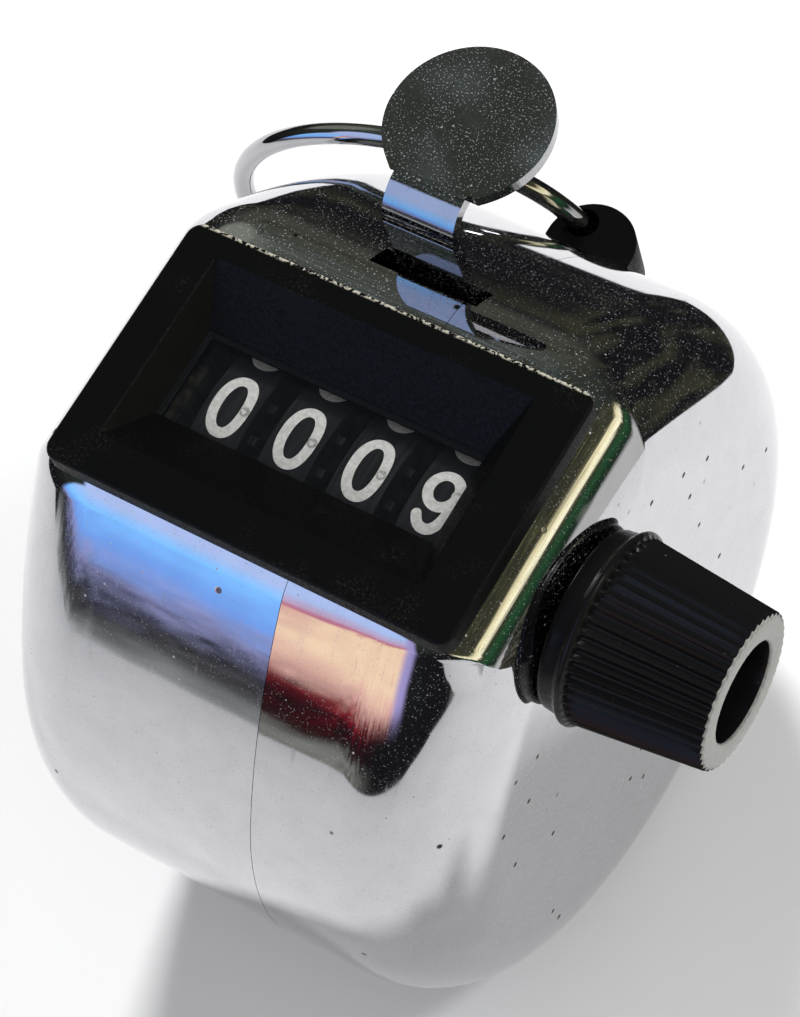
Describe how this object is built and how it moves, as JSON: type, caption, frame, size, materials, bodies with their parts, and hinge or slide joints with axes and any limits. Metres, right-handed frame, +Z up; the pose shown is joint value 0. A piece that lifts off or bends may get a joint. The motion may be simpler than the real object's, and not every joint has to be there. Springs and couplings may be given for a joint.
{
  "type": "hand tally counter",
  "caption": "Palm-held tally counter: chromed drum case, number wheels behind a window, thumb lever, ribbed reset knob and wire finger ring.",
  "frame": {"origin": "middle of the small flat under the drum-shaped case", "axes": "+X along the wheel shaft towards the reset knob, +Y towards the thumb lever and finger ring, +Z up out of the window"},
  "size_m": [0.0527, 0.0506, 0.0552],
  "materials": {
    "chrome_plate": "polished, finely scuffed",
    "black_grained_plastic": "fine grain, satin",
    "black_gloss_plastic": "moulded gloss",
    "black_wheel_plastic": "matt black with off-white numerals",
    "clear_lens": "clear",
    "passivated_steel": "passivated",
    "bare_steel": "turned",
    "spring_steel": "drawn wire",
    "brass_collar": "turned",
    "cream_nylon": "moulded"
  },
  "bodies": {
    "case_and_frame": {"case_left": "chrome_plate", "case_right": "chrome_plate", "bezel": "black_grained_plastic", "window_lens": "clear_lens", "frame_left_plate": "passivated_steel", "frame_right_plate": "passivated_steel", "frame_posts": "bare_steel", "frame_standoffs": "bare_steel", "frame_screws": "bare_steel", "pinion_shaft": "bare_steel", "lever_guide": "passivated_steel", "guide_rivets": "bare_steel", "lever_return_spring": "spring_steel", "spring_post": "bare_steel", "stop_pawl_pin": "bare_steel", "stop_pawl_spring": "spring_steel", "ring_lug": "black_grained_plastic", "lug_rivet": "bare_steel"},
    "lever": {"thumb_lever": "chrome_plate", "drive_pawl_pin": "bare_steel", "drive_pawl_spring": "spring_steel"},
    "drive_pawl": {"drive_pawl": "bare_steel"},
    "stop_pawl": {"stop_pawl": "bare_steel"},
    "units": {"number_wheel_units": "black_wheel_plastic", "units_ratchet": "bare_steel"},
    "tens": {"number_wheel_tens": "black_wheel_plastic"},
    "hundreds": {"number_wheel_hundreds": "black_wheel_plastic"},
    "thousands": {"number_wheel_thousands": "black_wheel_plastic"},
    "tens_pinion": {"transfer_pinion_tens": "cream_nylon"},
    "hundreds_pinion": {"transfer_pinion_hundreds": "cream_nylon"},
    "thousands_pinion": {"transfer_pinion_thousands": "cream_nylon"},
    "reset": {"reset_knob": "black_gloss_plastic", "reset_shaft": "bare_steel", "shaft_collar": "brass_collar", "shaft_clip": "spring_steel", "spring_washer": "spring_steel"},
    "ring": {"finger_ring": "chrome_plate"}
  },
  "joints": [
    {"name": "lever_press", "type": "slide", "parent": "case_and_frame", "child": "lever", "axis": [0, 0, -1], "range_m": [0, 0.0045], "stiffness_N_per_m": 200, "springref_m": -0.002, "deforming": ["lever_return_spring"]},
    {"name": "drive_pawl_swing", "type": "hinge", "parent": "lever", "child": "drive_pawl", "pos_m": [0.0107, 0.008, 0.033], "axis": [1, 0, 0], "range_deg": [-10, 0], "stiffness_Nm_per_rad": 0.001, "springref_deg": 5.73},
    {"name": "stop_pawl_swing", "type": "hinge", "parent": "case_and_frame", "child": "stop_pawl", "pos_m": [0.0107, -0.0105, 0.0342], "axis": [1, 0, 0], "range_deg": [0, 10]},
    {"name": "units_wheel_turn", "type": "hinge", "parent": "case_and_frame", "child": "units", "pos_m": [0, -0.0023, 0.0389], "axis": [-1, 0, 0], "range_deg": [0, 36]},
    {"name": "tens_wheel_turn", "type": "hinge", "parent": "case_and_frame", "child": "tens", "pos_m": [0, -0.0023, 0.0389], "axis": [-1, 0, 0], "range_deg": [0, 36]},
    {"name": "hundreds_wheel_turn", "type": "hinge", "parent": "case_and_frame", "child": "hundreds", "pos_m": [0, -0.0023, 0.0389], "axis": [-1, 0, 0], "range_deg": [0, 324]},
    {"name": "thousands_wheel_turn", "type": "hinge", "parent": "case_and_frame", "child": "thousands", "pos_m": [0, -0.0023, 0.0389], "axis": [-1, 0, 0], "continuous": true},
    {"name": "tens_pinion_turn", "type": "hinge", "parent": "case_and_frame", "child": "tens_pinion", "pos_m": [0, -0.0023, 0.0291], "axis": [-1, 0, 0], "range_deg": [-90, 0]},
    {"name": "hundreds_pinion_turn", "type": "hinge", "parent": "case_and_frame", "child": "hundreds_pinion", "pos_m": [0, -0.0023, 0.0291], "axis": [-1, 0, 0], "range_deg": [-810, 0]},
    {"name": "thousands_pinion_turn", "type": "hinge", "parent": "case_and_frame", "child": "thousands_pinion", "pos_m": [0, -0.0023, 0.0291], "axis": [-1, 0, 0], "continuous": true},
    {"name": "reset_knob_turn", "type": "hinge", "parent": "case_and_frame", "child": "reset", "pos_m": [0, -0.0023, 0.0389], "axis": [1, 0, 0], "continuous": true},
    {"name": "ring_fold", "type": "hinge", "parent": "case_and_frame", "child": "ring", "pos_m": [0.00041, 0.0251, 0.02787], "axis": [0.189, 0.0998, -0.9769], "range_deg": [0, 165]}
  ],
  "couplings": [
    {"joint": "units_wheel_turn", "follows": "lever_press", "rad_per_m": 139.62},
    {"joint": "tens_wheel_turn", "follows": "lever_press", "rad_per_m": 139.62},
    {"joint": "tens_pinion_turn", "follows": "lever_press", "rad_per_m": -349.05},
    {"joint": "stop_pawl_swing", "follows": "lever_press", "rad_per_m": 36.84},
    {"joint": "hundreds_pinion_turn", "follows": "hundreds_wheel_turn", "ratio": -2.5},
    {"joint": "thousands_pinion_turn", "follows": "thousands_wheel_turn", "ratio": -2.5}
  ]
}
